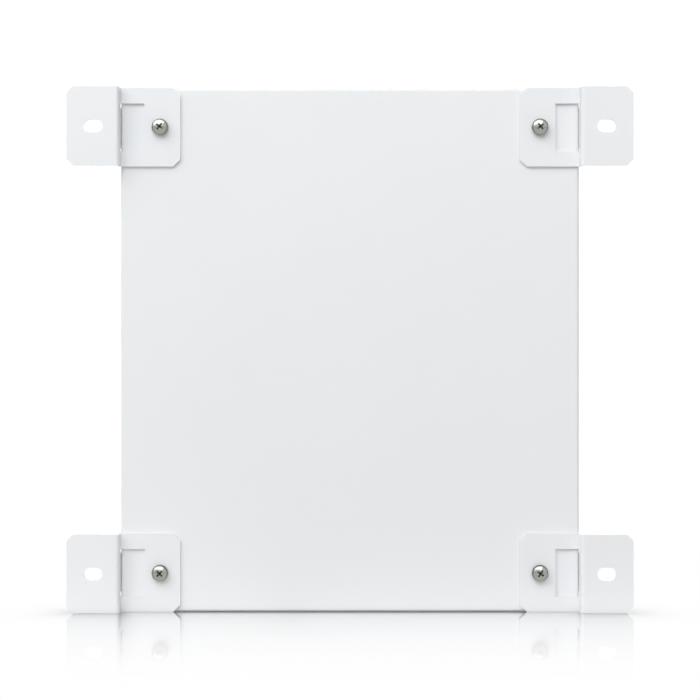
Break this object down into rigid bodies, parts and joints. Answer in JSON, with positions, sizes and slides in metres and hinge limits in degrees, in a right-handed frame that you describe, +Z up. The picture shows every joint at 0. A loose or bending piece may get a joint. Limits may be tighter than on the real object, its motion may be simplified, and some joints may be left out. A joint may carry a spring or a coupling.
{
  "type": "ceiling access point",
  "caption": "Flat rectangular wireless access point: white sheet-steel rear pan with joggled corner mounting ears, pan-head screws and a crowned plastic radome.",
  "frame": {"origin": "middle of the underside of the bounding box, as the access point stands on its lower edge", "axes": "+Z up along the body's height, +Y from the wall side towards the radome's face, +X towards the wall of the pan that holds the Ethernet jacks"},
  "size_m": [0.2704, 0.056, 0.2512],
  "materials": {
    "powder_coated_steel": "fine satin powder coat",
    "white_plastic": "fine matt texture",
    "nickel_plated_steel": "bright nickel plate",
    "zinc_plated_steel": "zinc plate",
    "brass": "plain",
    "aluminium": "satin",
    "tin_plate": "bright tin plate",
    "circuit_board": "green solder mask",
    "thermal_pad": "soft silicone",
    "seal_rubber": "matt",
    "black_plastic": "moulded",
    "capacitor_sleeve": "shrunk sleeve",
    "copper_winding": "enamelled copper",
    "cable_jacket": "smooth jacket",
    "clear_plastic": "clear moulded light guide"
  },
  "bodies": {
    "housing": {"rear_chassis": "powder_coated_steel", "rim_gasket": "seal_rubber", "mount_ear_top_left": "powder_coated_steel", "mount_ear_top_right": "powder_coated_steel", "mount_ear_bottom_left": "powder_coated_steel", "mount_ear_bottom_right": "powder_coated_steel", "ear_screw_top_left": "nickel_plated_steel", "ear_screw_top_right": "nickel_plated_steel", "ear_screw_bottom_left": "nickel_plated_steel", "ear_screw_bottom_right": "nickel_plated_steel", "press_nut_top_left": "zinc_plated_steel", "press_nut_top_right": "zinc_plated_steel", "press_nut_bottom_left": "zinc_plated_steel", "press_nut_bottom_right": "zinc_plated_steel", "heat_spreader": "aluminium", "thermal_pad_1": "thermal_pad", "thermal_pad_2": "thermal_pad", "thermal_pad_3": "thermal_pad", "main_board": "circuit_board", "board_standoff_1": "brass", "board_standoff_2": "brass", "board_standoff_3": "brass", "board_standoff_4": "brass", "board_screw_1": "nickel_plated_steel", "board_screw_2": "nickel_plated_steel", "board_screw_3": "nickel_plated_steel", "board_screw_4": "nickel_plated_steel", "processor_shield": "tin_plate", "radio_shield_1": "tin_plate", "radio_shield_2": "tin_plate", "radio_shield_3": "tin_plate", "ethernet_jack_1": "black_plastic", "ethernet_jack_2": "black_plastic", "lan_transformer": "black_plastic", "poe_transformer": "black_plastic", "capacitor_1": "capacitor_sleeve", "capacitor_2": "capacitor_sleeve", "power_inductor": "copper_winding", "reset_switch": "black_plastic", "status_lamp": "clear_plastic", "antenna_plate": "aluminium", "antenna_post_1": "white_plastic", "antenna_post_2": "white_plastic", "antenna_post_3": "white_plastic", "antenna_post_4": "white_plastic", "antenna_element_1": "brass", "antenna_element_2": "brass", "antenna_element_3": "brass", "antenna_element_4": "brass", "antenna_lead_1": "cable_jacket", "antenna_lead_2": "cable_jacket", "antenna_lead_3": "cable_jacket", "antenna_lead_4": "cable_jacket"},
    "front_cover": {"front_radome": "white_plastic", "light_guide": "clear_plastic"},
    "reset_plunger": {"reset_button": "black_plastic"}
  },
  "joints": [
    {"name": "cover_pull", "type": "slide", "parent": "housing", "child": "front_cover", "axis": [0, 1, 0], "range_m": [0, 0.12]},
    {"name": "reset_press", "type": "slide", "parent": "housing", "child": "reset_plunger", "axis": [-1, 0, 0], "range_m": [0, 0.0006], "stiffness_N_per_m": 2500}
  ]
}
